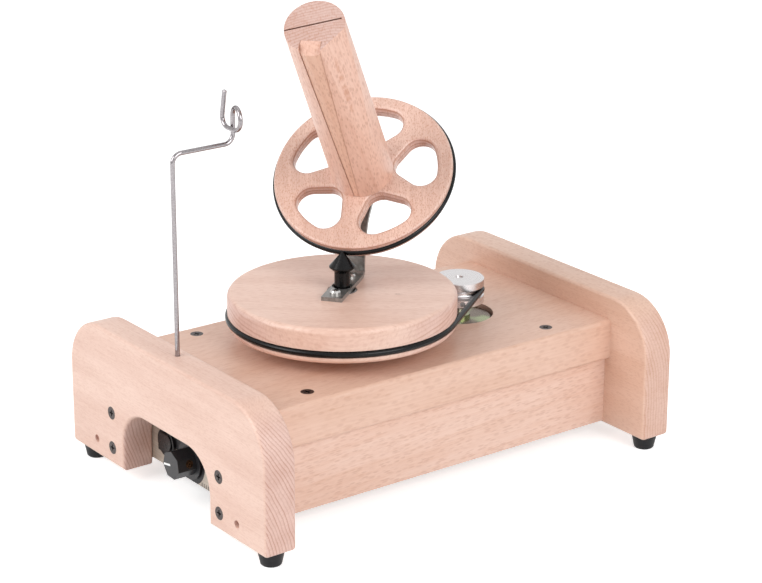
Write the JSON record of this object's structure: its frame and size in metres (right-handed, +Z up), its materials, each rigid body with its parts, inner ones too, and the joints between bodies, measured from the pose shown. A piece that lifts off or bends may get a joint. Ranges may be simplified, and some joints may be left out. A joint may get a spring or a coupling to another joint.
{
  "type": "electric ball winder",
  "caption": "Electric ball winder: wooden stand, belt-driven turntable with a tilted wheel and winding core, friction cone drive, wire yarn guide and speed knob.",
  "frame": {"origin": "on the table under the middle of the stand, level with the undersides of the rubber feet", "axes": "+X along the stand towards the end board without controls, -Y to the front, +Z up along the turntable's axis"},
  "size_m": [0.365, 0.2556, 0.3578],
  "materials": {
    "beech": "satin",
    "black_rubber": "satin",
    "bright_steel": "polished",
    "zinc_plated": "satin",
    "aluminium": "turned",
    "dark_screw": "blackened",
    "black_plastic": "satin",
    "knob_plastic": "matte",
    "circuit_board": "satin",
    "brass": "satin",
    "white_paint": "matte",
    "yellow_zinc": "yellow passivated",
    "plate_grey": "matte"
  },
  "bodies": {
    "stand": {"left_end_board": "beech", "right_end_board": "beech", "deck_board": "beech", "front_rail": "beech", "back_rail": "beech", "end_board_screws": "dark_screw", "deck_screws": "dark_screw", "rubber_feet": "black_rubber", "foot_screws": "bright_steel", "control_plate": "plate_grey", "control_plate_screws": "bright_steel", "speed_potentiometer": "bright_steel", "potentiometer_nut": "bright_steel", "switch_housing": "black_plastic", "power_socket": "black_plastic", "speed_circuit_board": "circuit_board", "board_standoffs": "brass", "drive_motor": "yellow_zinc", "motor_flange": "zinc_plated", "motor_flange_screws": "bright_steel", "centre_spindle": "bright_steel", "spindle_nuts": "zinc_plated", "spindle_washers": "zinc_plated", "spindle_spacer": "bright_steel", "friction_cone": "black_rubber", "drive_belt": "black_rubber"},
    "turntable": {"turntable": "beech", "upper_bearing": "bright_steel", "lower_bearing": "bright_steel", "head_bracket": "zinc_plated", "bracket_screws": "bright_steel", "head_axle": "bright_steel", "axle_spacer": "bright_steel", "axle_nut": "zinc_plated"},
    "winding_head": {"winding_wheel": "beech", "friction_ring": "black_rubber", "winding_core": "beech", "core_wedge": "beech", "outer_head_bearing": "bright_steel", "inner_head_bearing": "bright_steel", "core_screws": "bright_steel"},
    "motor_pulley": {"motor_pulley": "aluminium", "motor_shaft": "bright_steel", "pulley_set_screw": "dark_screw"},
    "speed_knob": {"speed_knob": "knob_plastic", "knob_pointer": "white_paint", "knob_set_screw": "brass", "potentiometer_shaft": "bright_steel"},
    "switch_rocker": {"switch_rocker": "black_plastic"},
    "yarn_guide": {"yarn_guide": "bright_steel"}
  },
  "joints": [
    {"name": "turntable_spin", "type": "hinge", "parent": "stand", "child": "turntable", "pos_m": [-0.0269, 0, 0.1338], "axis": [0, 0, 1], "continuous": true},
    {"name": "head_spin", "type": "hinge", "parent": "turntable", "child": "winding_head", "pos_m": [0.01452, 0.03155, 0.20881], "axis": [-0.5156, -0.3928, 0.7615], "continuous": true},
    {"name": "motor_spin", "type": "hinge", "parent": "stand", "child": "motor_pulley", "pos_m": [0.0762, -0.0072, 0.115], "axis": [0, 0, 1], "continuous": true},
    {"name": "speed_knob_turn", "type": "hinge", "parent": "stand", "child": "speed_knob", "pos_m": [-0.15755, 0.0035, 0.0316], "axis": [1, 0, 0], "range_deg": [-60, 240]},
    {"name": "power_switch_rock", "type": "hinge", "parent": "stand", "child": "switch_rocker", "pos_m": [-0.15755, 0.0345, 0.0345], "axis": [0, 1, 0], "range_deg": [-16, 0]},
    {"name": "yarn_guide_swivel", "type": "hinge", "parent": "stand", "child": "yarn_guide", "pos_m": [-0.1678, 0.0015, 0.114], "axis": [0, 0, 1], "range_deg": [-100, 100]}
  ],
  "couplings": [
    {"joint": "head_spin", "follows": "turntable_spin", "ratio": 0.047965},
    {"joint": "motor_spin", "follows": "turntable_spin", "ratio": 4.9349}
  ]
}
